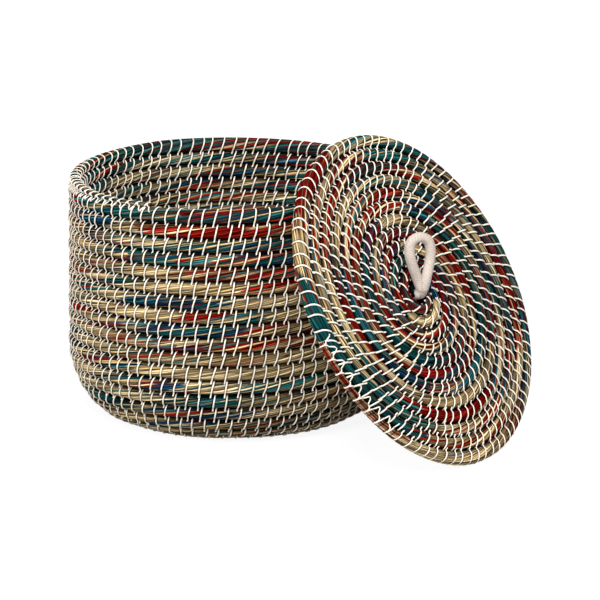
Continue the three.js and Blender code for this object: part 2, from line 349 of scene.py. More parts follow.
# Studio: floor, sky and lamps, each lamp by name, azimuth, elevation, size in metres and power in watts
FLOOR_SIZE = 40
FLOOR_GREY = (0.52, 0.52, 0.52, 1)
FLOOR_NEAR = 0.5
FLOOR_FAR = 1.6
FLOOR_GLOW_NEAR = 1.28
FLOOR_GLOW_FAR = 1.45
FLOOR_GLOW_SHARE = 0.71
SKY_LEVEL = 0.06
WHITE = (1, 1, 1, 1)
LAMP_DISTANCE = 2.3
LAMP_TARGET = Vector((0.07, 0, 0.12))
LAMPS = [
    ("right", -18, 50, 0.6, 46),
    ("front", -62, 42, 0.9, 34),
    ("left", -92, 22, 0.9, 38),
    ("back", 120, 40, 0.9, 18),
]

# Camera, in millimetres and radians, with its picture in pixels and its farthest sight in metres
CAMERA_DISTANCE = 2317.555
CAMERA_HEIGHT = 713.018
CAMERA_PITCH = 0.259
CAMERA_YAW = 0.026
CAMERA_TURN = math.radians(36.94)
SENSOR_WIDTH = 36
FOCAL_PIXELS = 2600
PICTURE_PIXELS = 600
FARTHEST_SEEN = 60


# Smooth seeded noise from 0 to 1 over a plane
def value_noise(x, y, seed):
    size = 256
    table = np.random.default_rng(seed).random((size, size))
    x0 = np.floor(x)
    y0 = np.floor(y)
    fx = x - x0
    fy = y - y0
    fx = fx * fx * (3 - 2 * fx)
    fy = fy * fy * (3 - 2 * fy)
    i = x0.astype(int) % size
    j = y0.astype(int) % size
    i1 = (i + 1) % size
    j1 = (j + 1) % size
    low = table[i, j] * (1 - fx) + table[i1, j] * fx
    high = table[i, j1] * (1 - fx) + table[i1, j1] * fx
    return low * (1 - fy) + high * fy


# Smooth rise from 0 to 1
def soft_step(value, low, high):
    share = np.clip((value - low) / (high - low), 0, 1)
    return share * share * (3 - 2 * share)


# Distance along a line of points
def distances(points):
    steps = np.linalg.norm(np.diff(points, axis=0), axis=1)
    return np.concatenate([[0], np.cumsum(steps)])


# Length travelled at turn counts of a spiral of changing radius
def travelled(turns, radius):
    steps = (radius[1:] + radius[:-1]) / 2 * TAU * np.diff(turns)
    return np.concatenate([[0], np.cumsum(steps)])


# Points spaced along a smooth line through control points
def smooth_open(control, count):
    padded = np.vstack([2 * control[0] - control[1], control, 2 * control[-1] - control[-2]])
    spans = len(control) - 1
    at = np.linspace(0, spans, count)
    i = np.minimum(at.astype(int), spans - 1)
    f = (at - i)[:, None]
    p0, p1, p2, p3 = padded[i], padded[i + 1], padded[i + 2], padded[i + 3]
    return 0.5 * (2 * p1 + (p2 - p0) * f + (2 * p0 - 5 * p1 + 4 * p2 - p3) * f ** 2
                  + (3 * p1 - p0 - 3 * p2 + p3) * f ** 3)


# Profile of the basket along the middle of its coil, by distance from the axis
def basket_profile():
    floor_line = BASKET_THICKNESS / 2
    wall = BASKET_RADIUS - BASKET_THICKNESS / 2
    flat = wall - FOOT_INSET
    q = np.linspace(0, 1, PROFILE_STEPS)[:, None]
    start = np.array([flat, floor_line])
    control = np.array([flat + FOOT_CURVE, floor_line])
    end = np.array([wall, floor_line + FOOT_RISE])
    curve = (1 - q) ** 2 * start + 2 * q * (1 - q) * control + q ** 2 * end
    top_edge = np.array([[wall - RIM_DRAW_IN, BASKET_HEIGHT]])
    points = np.vstack([[[0, floor_line]], curve, top_edge])
    return distances(points), points


# Flat profile of the lid
def lid_profile():
    reach = LID_RADIUS + LID_PITCH
    return np.array([0.0, reach]), np.array([[0.0, 0.0], [reach, 0.0]])


# Points kept just above the floor
def press_to_floor(points):
    points = points.copy()
    points[..., 2] = np.maximum(points[..., 2], FLOOR_GAP)
    return points


# From the lid's own frame to the shared frame
def lean(points):
    c, s = math.cos(LID_LEAN), math.sin(LID_LEAN)
    x, y, z = points[..., 0], points[..., 1], points[..., 2]
    return np.stack([x * c + z * s, y, -x * s + z * c], -1) + LID_CENTRE


# The lid's grass and stitches leaned against the basket
def lean_to_floor(points):
    return press_to_floor(lean(points))


@dataclass
class Coil:
    """A bundle laid row by row along a profile."""

    profile: tuple
    first_edge: float
    rows: float
    wanted_pitch: float
    spare: float
    fuse: float
    thickness: float
    square: float
    twist: float
    end_azimuth: float
    bias: float
    taper: float
    handed: int
    seed: int
    finish: object

    def __post_init__(self):
        self.distance, self.points = self.profile
        self.turns = round(self.rows / self.wanted_pitch * ROUND_STEPS) / ROUND_STEPS + self.spare
        self.pitch = self.rows / (self.turns - self.spare)

    # Radius and height at distances along the profile
    def profile_at(self, s):
        r = np.interp(s, self.distance, self.points[:, 0])
        z = np.interp(s, self.distance, self.points[:, 1])
        return r, z

    # Radius, height and direction at distances along the profile
    def along(self, s):
        reach = 2
        r, z = self.profile_at(s)
        r_after, z_after = self.profile_at(s + reach)
        r_before, z_before = self.profile_at(s - reach)
        ahead = r_after - r_before
        rise = z_after - z_before
        size = np.hypot(ahead, rise)
        return r, z, ahead / size, rise / size

    # Distance along the profile of a row's outer edge
    def edge(self, growth):
        return self.first_edge + self.pitch * growth

    # Centre, axes and half sizes of the bundle at turn counts
    def at(self, t):
        t = np.asarray(t, float)
        growth = t + self.bias / TAU * np.sin(TAU * (t - self.turns))
        inner = self.edge(np.maximum(growth - 1, 0)) - self.fuse * np.maximum(FUSED_TURNS - growth, 0)
        full = self.edge(growth) - ROW_GAP - inner
        share = np.clip((self.turns - t) / self.taper, TIP_SHARE, 1)
        half_row = full * share / 2
        half_thick = self.thickness / 2 * (TIP_THICKNESS + (1 - TIP_THICKNESS) * share)
        r, z, ar, az = self.along(inner + half_row)
        azimuth = self.end_azimuth + self.handed * TAU * (t - self.turns)
        c, s = np.cos(azimuth), np.sin(azimuth)
        zero = np.zeros_like(c)
        return {
            "centre": np.stack([r * c, r * s, z], -1),
            "along": np.stack([ar * c, ar * s, az], -1),
            "out": np.stack([az * c, az * s, -ar], -1),
            "travel": self.handed * np.stack([-s, c, zero], -1),
            "half_row": half_row + ROW_GAP / 2,
            "half_thick": half_thick,
            "radius": r,
        }

    # Turn count at an azimuth in degrees in a round counted from the coil's end
    def turn_at(self, row, azimuth):
        passed = self.handed * (azimuth - math.degrees(self.end_azimuth)) / 360
        return self.turns - row + passed + (1 if self.handed < 0 else 0)

    # Turn counts spaced evenly along the bundle
    def spaced(self, start, end, spacing):
        least_radius = 3
        fine = np.linspace(start, end, SPACING_STEPS)
        length = travelled(fine, np.maximum(self.at(fine)["radius"], least_radius))
        count = max(int(round(length[-1] / spacing)), 2)
        return np.interp(np.linspace(0, length[-1], count + 1), length, fine)

    # Length along the bundle at turn counts, from its start
    def length_at(self, t):
        fine = np.linspace(0, self.turns, LENGTH_STEPS)
        return np.interp(t, fine, travelled(fine, self.at(fine)["radius"]))

    # Small irregular shifts of the bundle off its path, and swells of its thickness
    def wobble_at(self, t):
        length = self.length_at(t)
        out = value_noise(length / WOBBLE_LENGTH, np.zeros_like(length), self.seed) - 0.5
        swell_row = np.full_like(length, SWELL_NOISE_ROW)
        swell = value_noise(length / SWELL_LENGTH, swell_row, self.seed) - 0.5
        return WOBBLE * out * 2, 1 + SWELL * swell


basket_line = basket_profile()
basket = Coil(
    profile=basket_line, first_edge=START_BUTTON_RADIUS,
    rows=basket_line[0][-1] - START_BUTTON_RADIUS + ROW_GAP,
    wanted_pitch=BASKET_PITCH, spare=0, fuse=1,
    thickness=BASKET_THICKNESS, square=WALL_SQUARE, twist=WALL_TWIST,
    end_azimuth=RIM_END_AZIMUTH, bias=RIM_STEP_BIAS, taper=RIM_TAPER_TURNS,
    handed=1, seed=BASKET_SEED, finish=press_to_floor,
)
lid = Coil(
    profile=lid_profile(), first_edge=LID_HOLE_RADIUS,
    rows=LID_RADIUS - LID_HOLE_RADIUS + ROW_GAP,
    wanted_pitch=LID_PITCH, spare=LID_SPARE_TURNS, fuse=0,
    thickness=LID_THICKNESS, square=LID_SQUARE, twist=LID_TWIST,
    end_azimuth=LID_END_AZIMUTH, bias=LID_STEP_BIAS, taper=LID_TAPER_TURNS,
    handed=-1, seed=LID_SEED, finish=lean_to_floor,
)
flat_reach = BASKET_RADIUS - BASKET_THICKNESS / 2 - FOOT_INSET
foot_turn = round((flat_reach - START_BUTTON_RADIUS) / basket.pitch * ROUND_STEPS) / ROUND_STEPS


# Mesh from quads and end caps, with its maps per corner and colours per point
def mesh_object(name, points, quads, caps, maps, colours, material):
    corners = np.concatenate([quads.ravel()] + [np.asarray(c) for c in caps]).astype(np.int32)
    starts = [4 * i for i in range(len(quads))]
    at = quads.size
    for cap in caps:
        starts.append(at)
        at += len(cap)
    mesh = bpy.data.meshes.new(name)
    mesh.vertices.add(len(points))
    mesh.vertices.foreach_set("co", (points * MM).astype(np.float32).ravel())
    mesh.loops.add(len(corners))
    mesh.loops.foreach_set("vertex_index", corners)
    mesh.polygons.add(len(starts))
    mesh.polygons.foreach_set("loop_start", np.array(starts, np.int32))
    mesh.update(calc_edges=True)
    for map_name, uv in maps.items():
        layer = mesh.uv_layers.new(name=map_name)
        layer.data.foreach_set("uv", uv.astype(np.float32).ravel())
    for colour_name, rgba in colours.items():
        layer = mesh.attributes.new(colour_name, "FLOAT_COLOR", "POINT")
        layer.data.foreach_set("color", rgba.astype(np.float32).ravel())
    mesh.shade_smooth()
    obj = bpy.data.objects.new(name, mesh)
    bpy.context.scene.collection.objects.link(obj)
    mesh.materials.append(material)
    return obj


# Quads between neighbouring rings, as corner numbers
def ring_quads(count, sides):
    i = np.arange(count - 1)[:, None]
    j = np.arange(sides)[None, :]
    k = (j + 1) % sides
    corners = (i * sides + j, i * sides + k, (i + 1) * sides + k, (i + 1) * sides + j)
    return np.stack(np.broadcast_arrays(*corners), -1).reshape(-1, 4)


# Pairs of map coordinates
def plane(u, v):
    return np.stack(np.broadcast_arrays(u, v), -1)


# Map corners of quads that reach from u0 to u1 and from v0 to v1, in the quads' order
def quad_map(u0, u1, v0, v1):
    return np.stack([plane(u0, v0), plane(u0, v1), plane(u1, v1), plane(u1, v0)], -2).reshape(-1, 2)


# Corner values of every quad of a grid, in the quads' order
def grid_corners(grid):
    corners = [grid[:-1, :-1], grid[:-1, 1:], grid[1:, 1:], grid[1:, :-1]]
    return np.stack(corners, -2).reshape(-1, grid.shape[-1])


# A tube of rings: strand map along and around, bake map as strips of equal length
def tube(name, rings, lengths, around, twist, strips, dye, material):
    count, sides = rings.shape[:2]
    first = np.arange(sides)[::-1]
    last = (count - 1) * sides + np.arange(sides)
    share = np.arange(sides + 1)[None, :] / sides
    strand_grid = plane(lengths[:, None] * MM, (share + lengths[:, None] * twist) * around)
    cap_strand = np.concatenate([strand_grid[0, :-1][::-1], strand_grid[-1, :-1]])
    i = np.arange(count - 1)[:, None]
    per_strip = math.ceil((count - 1) / strips)
    strip = i // per_strip
    place = (i - strip * per_strip) / per_strip
    v = (strip + BAKE_MARGIN + (1 - 2 * BAKE_MARGIN) * share) / strips
    bake = quad_map(place, place + 1 / per_strip, v[:, :-1], v[:, 1:])
    cap_bake = np.full((2 * sides, 2), 0.5 / strips)
    maps = {
        "Strands": np.concatenate([grid_corners(strand_grid), cap_strand]),
        "OFBake": np.concatenate([bake, cap_bake]),
    }
    # Dye shares, with painted groove shade in the alpha channel
    colours = {} if dye is None else {"DyeAndPaintedShade": dye.reshape(-1, 4)}
    quads = ring_quads(count, sides)
    return mesh_object(name, rings.reshape(-1, 3), quads, [first, last], maps, colours, material)


# Many open threads in one mesh, each with its own square of the bake map
def threads(name, all_rings, material):
    count, steps, sides = all_rings.shape[:3]
    offsets = np.arange(count)[:, None, None] * steps * sides
    quads = (ring_quads(steps, sides)[None] + offsets).reshape(-1, 4)
    i = np.arange(steps - 1)[:, None]
    j = np.arange(sides)[None, :]
    cell = quad_map(i / (steps - 1), (i + 1) / (steps - 1), j / sides, (j + 1) / sides)
    cell = cell * (1 - 2 * THREAD_BAKE_MARGIN) + THREAD_BAKE_MARGIN
    squares = math.ceil(math.sqrt(count))
    corner = np.stack([np.arange(count) % squares, np.arange(count) // squares], -1)
    bake = ((cell[None] + corner[:, None, :]) / squares).reshape(-1, 2)
    strand = np.broadcast_to(cell[None], (count,) + cell.shape).copy()
    strand[..., 0] += np.arange(count)[:, None] * THREAD_GRAIN_STEP
    maps = {"Strands": strand.reshape(-1, 2), "OFBake": bake}
    return mesh_object(name, all_rings.reshape(-1, 3), quads, [], maps, {}, material)


# Angles round a bundle, from the side of the row before
def bundle_angles(sides):
    return -math.pi + TAU * np.arange(sides) / sides


# Cosines or sines of a round with squarish corners
def squarish(values, square):
    return np.sign(values) * np.abs(values) ** square


# Rings of a coil's bundle at turn counts, pinched at its stitches
def bundle_rings(coil, turns, stitches, sides, slants):
    place = coil.at(turns)
    wobble, swell = coil.wobble_at(turns)
    angle = bundle_angles(sides)
    u = squarish(np.cos(angle), coil.square)[None, :]
    v = squarish(np.sin(angle), coil.square)[None, :]
    length = coil.length_at(turns)[:, None]
    stitch_length = coil.length_at(stitches)
    out_slant, in_slant = slants
    half_row = place["half_row"][:, None]
    shift_out = out_slant * u * half_row
    shift_in = out_slant * half_row + in_slant * half_row * (1 - u)
    reach = length - np.where(v >= 0, shift_out, shift_in)
    nearest = np.interp(reach, stitch_length, np.arange(len(stitch_length)))
    last = len(stitch_length) - 1
    before = stitch_length[np.clip(np.floor(nearest).astype(int), 0, last)]
    after = stitch_length[np.clip(np.ceil(nearest).astype(int), 0, last)]
    apart = np.minimum(np.abs(reach - before), np.abs(after - reach))
    pinch = STITCH_PINCH * (np.exp(-(apart / PINCH_LENGTH) ** 2) - PINCH_REST)
    lump_row = angle[None, :] * LUMPS_ROUND + LUMP_NOISE_ROW
    lump = value_noise(length / LUMP_LENGTH, lump_row, coil.seed + LUMP_SEED_STEP)
    half_thick = place["half_thick"][:, None] * swell[:, None] - pinch + LUMP * (lump - 0.5)
    points = (place["centre"] + wobble[:, None] * place["out"])[:, None, :]
    points = points + (u * half_row)[..., None] * place["along"][:, None, :]
    points = points + (v * half_thick)[..., None] * place["out"][:, None, :]
    return points, length[:, 0], nearest


# Teal's share of all blades, red's of the rest, blue's of what is left then, and the painted shade in the
# grooves between rows at each side
def dye_shares_and_painted_shade(coil, turns, cover, sides):
    least = 0.05
    teal, red, blue = cover
    red_left = np.maximum(1 - teal, least)
    blue_left = np.maximum(1 - teal - red, least)
    angle = bundle_angles(sides)
    edge = np.abs(np.cos(angle)) ** coil.square
    painted_groove_shade = GROOVE_SHADE * soft_step(edge, *GROOVE_EDGES)
    # The outer edge of the last round has no row beside it, and so no painted groove shade
    free = soft_step(turns, *(coil.turns - np.array(FREE_EDGE_TURNS)))
    covered = 1 - free[:, None] * (np.cos(angle) > 0)[None, :]
    shares = (teal, red / red_left, blue / blue_left)
    channels = [np.repeat(share[:, None], sides, axis=1) for share in shares]
    # Alpha: painted shade, darker towards the grooves between rows
    channels.append(1 - covered * painted_groove_shade[None, :])
    return np.stack(channels, -1)


# A stitch: once round its own row and a bite into the row before
def stitch_rings(coil, turn, slants, bite, bite_lift, half_width, shift):
    place = {key: value[0] for key, value in coil.at(np.array([turn])).items()}
    wobble, swell = coil.wobble_at(np.array([turn]))
    a = place["half_row"]
    b = place["half_thick"] * swell[0]

    def shoulder(depth):
        inward = max(1 - 2 * depth / coil.pitch, 0) ** (1 / coil.square)
        return coil.thickness / 2 * (1 - inward ** 2) ** (coil.square / 2)

    side = [
        (a + THREAD_TOP_GAP, 0.0),
        (0.86 * a, 0.60 * b + THREAD_LIFT),
        (0.45 * a, 0.93 * b + THREAD_LIFT),
        (0.0, b + THREAD_LIFT - THREAD_SINK),
        (-0.45 * a, 0.95 * b + THREAD_LIFT),
        (-0.86 * a, 0.66 * b + THREAD_LIFT),
        (-a - 0.35 * bite, shoulder(0.35 * bite) + bite_lift),
        (-a - 0.8 * bite, shoulder(0.8 * bite) + bite_lift),
        (-a - bite, shoulder(bite) - THREAD_END_DEPTH),
    ]
    slant_out, slant_in = slants
    outer = [(p, v, slant_out * p + shift) for p, v in side]
    inner = [(p, -v, slant_out * a + slant_in * (a - p) + shift) for p, v in side[1:]]
    path = smooth_open(np.array(outer[::-1] + inner), THREAD_STEPS)
    points = place["centre"] + wobble[0] * place["out"] + path[:, :1] * place["along"]
    points = points + path[:, 1:2] * place["out"] + path[:, 2:3] * place["travel"]
    tangent = np.gradient(points, axis=0)
    tangent /= np.linalg.norm(tangent, axis=1)[:, None]
    width = place["travel"] - tangent * (tangent @ place["travel"])[:, None]
    width /= np.linalg.norm(width, axis=1)[:, None]
    height = np.cross(tangent, width)
    angle = TAU * np.arange(THREAD_SIDES) / THREAD_SIDES + THREAD_ROLL
    ring = points[:, None, :] + (half_width * np.cos(angle))[None, :, None] * width[:, None, :]
    return ring + (THREAD_HALF_HEIGHT * np.sin(angle))[None, :, None] * height[:, None, :]


# A new material with its node tree and surface shader
def new_material(name, specular):
    material = bpy.data.materials.new(name)
    material.use_nodes = True
    shader = material.node_tree.nodes["Principled BSDF"]
    shader.inputs["Specular IOR Level"].default_value = specular
    return material, material.node_tree, shader


# A node with its settings, and each input linked or set
def add_node(tree, kind, inputs=None, **settings):
    node = tree.nodes.new(kind)
    for key, value in settings.items():
        setattr(node, key, value)
    for key, value in (inputs or {}).items():
        if isinstance(value, bpy.types.NodeSocket):
            tree.links.new(value, node.inputs[key])
        else:
            node.inputs[key].default_value = value
    return node


# Short functions that add one common node each and give its output
def maths(tree, operation, a, b=0.0, c=0.0):
    return add_node(tree, "ShaderNodeMath", {0: a, 1: b, 2: c}, operation=operation).outputs[0]


def scaled(tree, value, factor):
    return maths(tree, "MULTIPLY", value, float(factor))


def joined(tree, x, y, z=0.0):
    return add_node(tree, "ShaderNodeCombineXYZ", {0: x, 1: y, 2: z}).outputs[0]


def stretched(tree, x, y, scales, z=0.0):
    return joined(tree, scaled(tree, x, scales[0]), scaled(tree, y, scales[1]), z)


def mapped(tree, value, low, high, to_low, to_high, kind="LINEAR"):
    inputs = {0: value, 1: low, 2: high, 3: to_low, 4: to_high}
    return add_node(tree, "ShaderNodeMapRange", inputs, interpolation_type=kind).outputs[0]


def noise(tree, place, scale, detail, roughness=0.5):
    inputs = {"Vector": place, "Scale": scale, "Detail": detail, "Roughness": roughness}
    return add_node(tree, "ShaderNodeTexNoise", inputs).outputs[0]


def voronoi(tree, place, randomness, feature="F1"):
    inputs = {"Vector": place, "Scale": 1.0, "Randomness": randomness}
    return add_node(tree, "ShaderNodeTexVoronoi", inputs, feature=feature)


def channels_of(tree, colour):
    return add_node(tree, "ShaderNodeSeparateColor", {0: colour}).outputs


def blend_colour(tree, share, a, b, mode="MIX"):
    inputs = {0: share, 6: a, 7: b}
    return add_node(tree, "ShaderNodeMix", inputs, data_type="RGBA", blend_type=mode).outputs[2]


def ramp(tree, value, stops):
    node = add_node(tree, "ShaderNodeValToRGB", {0: value})
    elements = node.color_ramp.elements
    while len(elements) < len(stops):
        elements.new(0.5)
    for element, (position, colour) in zip(elements, stops):
        element.position = position
        element.color = (*colour, 1)
    return node.outputs[0]


def add_bump(tree, shader, height, strength, depth):
    bump = add_node(tree, "ShaderNodeBump", {"Height": height, "Strength": strength, "Distance": depth})
    tree.links.new(bump.outputs[0], shader.inputs["Normal"])


# The strand map, and its way along and across the strands
def strand_map(tree):
    uv = add_node(tree, "ShaderNodeUVMap", uv_map="Strands").outputs[0]
    split = add_node(tree, "ShaderNodeSeparateXYZ", {0: uv})
    return uv, split.outputs[0], split.outputs[1]


# Grass blades: long cells along the bundle, in tufts that are dyed or plain
def grass_material():
    material, tree, shader = new_material("grass", 0.0)
    _, x, y = strand_map(tree)
    sway = noise(tree, stretched(tree, x, y, SWAY_SCALES), 1.0, 1.0)
    across = maths(tree, "MULTIPLY_ADD", sway, BLADE_SWAY, y)
    place = joined(tree, scaled(tree, x, 1 / BLADE_LENGTH), across)
    blade = voronoi(tree, place, BLADE_RANDOMNESS)
    edge = voronoi(tree, place, BLADE_RANDOMNESS, "DISTANCE_TO_EDGE").outputs["Distance"]
    pick = channels_of(tree, blade.outputs["Color"])
    root = add_node(tree, "ShaderNodeSeparateXYZ", {0: blade.outputs["Position"]}).outputs
    tuft_place = stretched(tree, root[0], root[1], TUFT_SCALES, TUFT_LAYER)
    tuft = channels_of(tree, voronoi(tree, tuft_place, 1.0).outputs["Color"])
    # Dye shares, with painted groove shade in the alpha channel
    dye = add_node(tree, "ShaderNodeAttribute", attribute_name="DyeAndPaintedShade")
    shares = channels_of(tree, dye.outputs["Color"])
    strays = maths(tree, "LESS_THAN", pick[2], STRAY_SHARE)
    point = maths(tree, "SUBTRACT", POINT_EDGE, edge)

    # Blades of one dye: whole tufts with ragged ends and some lone blades, each with pointed ends
    def picked(channel):
        own = maths(tree, "FRACT", scaled(tree, pick[0], DYE_PICKS[channel]))
        ragged = maths(tree, "MULTIPLY_ADD", maths(tree, "SUBTRACT", own, 0.5), TUFT_RAGGED, tuft[channel])
        chance = add_node(tree, "ShaderNodeMix", {0: strays, 2: ragged, 3: own}).outputs[0]
        chance = maths(tree, "MULTIPLY_ADD", point, POINT_TAPER, chance)
        return maths(tree, "LESS_THAN", chance, shares[channel])

    colour = ramp(tree, pick[1], STRAW_TONES)
    for channel in (2, 1, 0):
        colour = blend_colour(tree, picked(channel), colour, ramp(tree, pick[1], DYE_TONES[channel]))

    # Streaks of tone along the fibres, and painted shade between blades, in the grooves between rows and
    # beside the stitches
    streak = noise(tree, stretched(tree, x, across, STREAK_SCALES), 1.0, 3.0, 0.65)
    shade = mapped(tree, streak, *STREAK_LEVELS, *STREAK_SHADES)
    # Painted shade: dark lines between the blades
    painted_gap_shade = mapped(tree, edge, 0.0, BLADE_GAP, BLADE_GAP_SHADE, 1.0)
    count = add_node(tree, "ShaderNodeAttribute", attribute_name="Stitch").outputs["Fac"]
    # Painted shade: darker beside each stitch
    painted_stitch_shade = mapped(tree, maths(tree, "PINGPONG", count, 0.5), *STITCH_SHADE_REACH, STITCH_SHADE, 1.0)
    # Painted shade in the grooves between rows and beside the stitches
    painted_shade = maths(tree, "MULTIPLY", dye.outputs["Alpha"], painted_stitch_shade)
    dim = maths(tree, "MULTIPLY", maths(tree, "MULTIPLY", shade, painted_gap_shade), painted_shade)
    dim_colour = add_node(tree, "ShaderNodeCombineColor", {0: dim, 1: dim, 2: dim}).outputs[0]
    tree.links.new(blend_colour(tree, 1.0, colour, dim_colour, "MULTIPLY"), shader.inputs["Base Color"])

    rounded = mapped(tree, edge, 0.0, BLADE_ROUNDING, 0.0, 1.0, "SMOOTHSTEP")
    relief = maths(tree, "MULTIPLY_ADD", streak, STREAK_RELIEF, rounded)
    relief = maths(tree, "MULTIPLY_ADD", pick[2], BLADE_RELIEF, relief)
    add_bump(tree, shader, relief, BLADE_BUMP, BLADE_DEPTH)
    tree.links.new(mapped(tree, pick[2], 0.0, 1.0, *BLADE_ROUGHNESS), shader.inputs["Roughness"])
    return material


# Pale sewing strand with a fine twist
def thread_material():
    material, tree, shader = new_material("sewing_strand", FIBRE_SHEEN)
    shader.inputs["Roughness"].default_value = THREAD_ROUGHNESS
    uv, x, y = strand_map(tree)
    grain = noise(tree, uv, THREAD_GRAIN, 3.0)
    tree.links.new(ramp(tree, grain, THREAD_TONES), shader.inputs["Base Color"])
    twist = maths(tree, "MULTIPLY_ADD", x, THREAD_TWIST, scaled(tree, y, TAU))
    add_bump(tree, shader, maths(tree, "SINE", twist), THREAD_BUMP, THREAD_DEPTH)
    return material


# Off-white cotton with fine slanting ribs and fuzz
def rope_material():
    material, tree, shader = new_material("cotton_rope", FIBRE_SHEEN)
    shader.inputs["Roughness"].default_value = ROPE_ROUGHNESS
    _, x, y = strand_map(tree)
    ribs = maths(tree, "MULTIPLY_ADD", x, ROPE_FINE_RIBS, scaled(tree, y, TAU * ROPE_RIBS_ROUND))
    ribs = scaled(tree, maths(tree, "SINE", ribs), ROPE_FINE_RIB_HEIGHT)
    place = add_node(tree, "ShaderNodeTexCoord").outputs["Object"]
    fuzz = noise(tree, place, ROPE_FUZZ_SCALE, 4.0, 0.7)
    relief = maths(tree, "MULTIPLY_ADD", fuzz, ROPE_FUZZ_HEIGHT, ribs)
    tree.links.new(ramp(tree, relief, ROPE_TONES), shader.inputs["Base Color"])
    add_bump(tree, shader, relief, ROPE_BUMP, ROPE_DEPTH)
    return material


grass = grass_material()
thread = thread_material()
rope = rope_material()


# Slow drift of a dye along a bundle, from -1 to 1
def drift(coil, turns, period, seed):
    length = coil.length_at(turns)
    row = np.full_like(length, DRIFT_NOISE_ROW)
    return np.clip(DRIFT_GAIN * (value_noise(length / period, row, seed) - 0.5), -1, 1)


# Lays dyed lengths over a coil's slow drift of dye
def with_lengths(coil, turns, shares, lengths):
    shares = np.stack(shares, -1)
    for row, first, last, dye in lengths:
        ends = sorted((coil.turn_at(row, first), coil.turn_at(row, last)))
        weight = soft_step(turns, ends[0] - DYE_FADE, ends[0] + DYE_FADE)
        weight = weight * (1 - soft_step(turns, ends[1] - DYE_FADE, ends[1] + DYE_FADE))
        shares = shares + weight[:, None] * (np.array(dye) - shares)
    return tuple(np.maximum(shares, 0.0).T)


# Shares of dyed grass: little on the base, more up the wall, most in the rim's last round
def basket_cover(coil, turns):
    height = np.clip(coil.at(turns)["centre"][:, 2] / BASKET_HEIGHT, 0, 1)
    rim = soft_step(turns, *(coil.turns - np.array(RIM_DYE_TURNS)))
    off_base = soft_step(height, *PLAIN_FOOT)
    shares = []
    for dye in WALL_DYES:
        share = dye["low"] + dye["added"] * soft_step(height, *dye["rise"])
        share = share + dye["swing"] * drift(coil, turns, dye["period"], dye["seed"])
        shares.append(share * off_base * (1 - rim) + dye["rim"] * rim)
    return with_lengths(coil, turns, shares, WALL_LENGTHS)


# Shares of dyed grass on the lid, where most blades are dyed
def lid_cover(coil, turns):
    shares = []
    for dye in LID_DYES:
        shares.append(dye["share"] + dye["swing"] * drift(coil, turns, dye["period"], dye["seed"]))
    return with_lengths(coil, turns, shares, LID_LENGTHS)


# Turn counts of a bundle's rings: some at each stitch and some between
def ring_turns(start, end, stitches, parts):
    inside = stitches[(stitches > start) & (stitches < end)]
    knots = np.concatenate([[start], inside, [end]])
    shares = np.arange(parts) / parts
    turns = (knots[:-1, None] + np.diff(knots)[:, None] * shares[None, :]).ravel()
    return np.append(turns, end)


# Count of stitches passed at each point, for the shade beside them
def set_stitch_count(piece, count):
    layer = piece.data.attributes.new("Stitch", "FLOAT", "POINT")
    layer.data.foreach_set("value", count.astype(np.float32).ravel())


# A length of a coil's bundle between two turn counts
def coil_piece(name, coil, start, end, stitches, mesh, slants, cover):
    sides = mesh["sides"]
    turns = ring_turns(start, end, stitches, mesh["parts"])
    points, length, nearest = bundle_rings(coil, turns, stitches, sides, slants)
    dye = dye_shares_and_painted_shade(coil, turns, cover(coil, turns), sides)
    piece = tube(name, coil.finish(points), length, STRANDS, 1 / coil.twist, mesh["strips"], dye, grass)
    set_stitch_count(piece, nearest)
    return piece


# Start of the basket's bundle, folded into a button that fills the middle of its base
def start_button():
    across = np.linspace(-BUTTON_REACH, BUTTON_REACH, BUTTON_RINGS)
    angle = TAU * np.arange(BUTTON_SIDES) / BUTTON_SIDES
    size = ((1 - across ** 2) ** BUTTON_ROUNDING)[:, None]
    radius = START_BUTTON_RADIUS + BUTTON_SPREAD
    x = radius * np.repeat(across[:, None], BUTTON_SIDES, axis=1)
    y = radius * size * np.cos(angle)[None, :]
    z = BASKET_THICKNESS / 2 * (1 + size * np.sin(angle)[None, :])
    # Plain straw, with no painted groove shade and no painted shade beside stitches
    dye = np.full((BUTTON_RINGS, BUTTON_SIDES, 4), (*STRAW, 1.0))
    rings = press_to_floor(np.stack([x, y, z], -1))
    piece = tube("base_start", rings, radius * across, STRANDS, twist=0, strips=1, dye=dye, material=grass)
    set_stitch_count(piece, np.full(x.size, 0.5))
    return piece


# A row of stitches, each a little different
def sewn(name, coil, stitches, slants, half_width, seed):
    chance = np.random.default_rng(seed)
    rings = []
    for turn in stitches:
        varied = np.array(slants) + chance.uniform(-SLANT_VARY, SLANT_VARY, 2)
        shift = chance.uniform(-SHIFT_VARY, SHIFT_VARY)
        rings.append(stitch_rings(coil, turn, varied, BITE, THREAD_LIFT / 2, half_width, shift))
    return threads(name, coil.finish(np.array(rings)), thread)


# A zigzag over the thin end of a coil, whose strokes meet at both edges of its outer or inner face
def lashed(name, coil, lashes, spacing, bite, outer_face):
    rings = []
    for index, turn in enumerate(lashes):
        half = coil.at(np.array([turn]))["half_row"][0]
        slant = spacing / (2 * half + bite) * (1 if index % 2 else -1)
        slants = (slant, 0) if outer_face else (0, slant)
        shift = slant * bite / 2 if outer_face else -slant * (half + bite / 2)
        rings.append(stitch_rings(coil, turn, slants, bite, LASH_LIFT, LASH_HALF_WIDTH, shift))
    return threads(name, coil.finish(np.array(rings)), thread)


